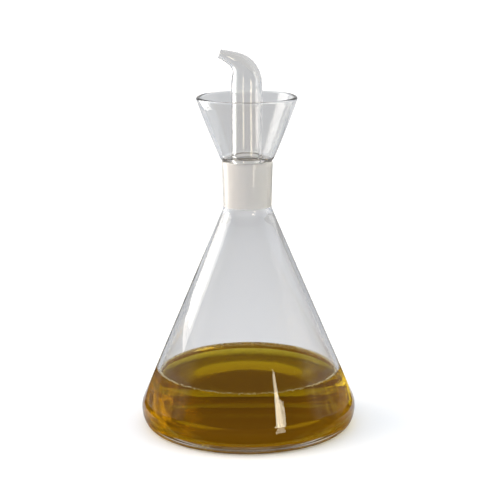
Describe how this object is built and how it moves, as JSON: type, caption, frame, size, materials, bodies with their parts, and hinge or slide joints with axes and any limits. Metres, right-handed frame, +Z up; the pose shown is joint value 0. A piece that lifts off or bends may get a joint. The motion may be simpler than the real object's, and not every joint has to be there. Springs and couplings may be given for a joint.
{
  "type": "oil cruet",
  "caption": "Clear glass table cruet: cone-shaped flask with short neck, drip funnel and bent spout on a ground plug, part filled with olive oil.",
  "frame": {"origin": "centre of the base, on the ground", "axes": "+Z up along the flask's axis; the spout points to -X"},
  "size_m": [0.11, 0.11, 0.1928],
  "materials": {
    "flask_glass": "clear polished",
    "pourer_glass": "clear polished, ground frosted on the plug",
    "olive_oil": "clear golden liquid"
  },
  "bodies": {
    "root": {"flask": "flask_glass", "pourer": "pourer_glass", "oil": "olive_oil"}
  },
  "joints": []
}
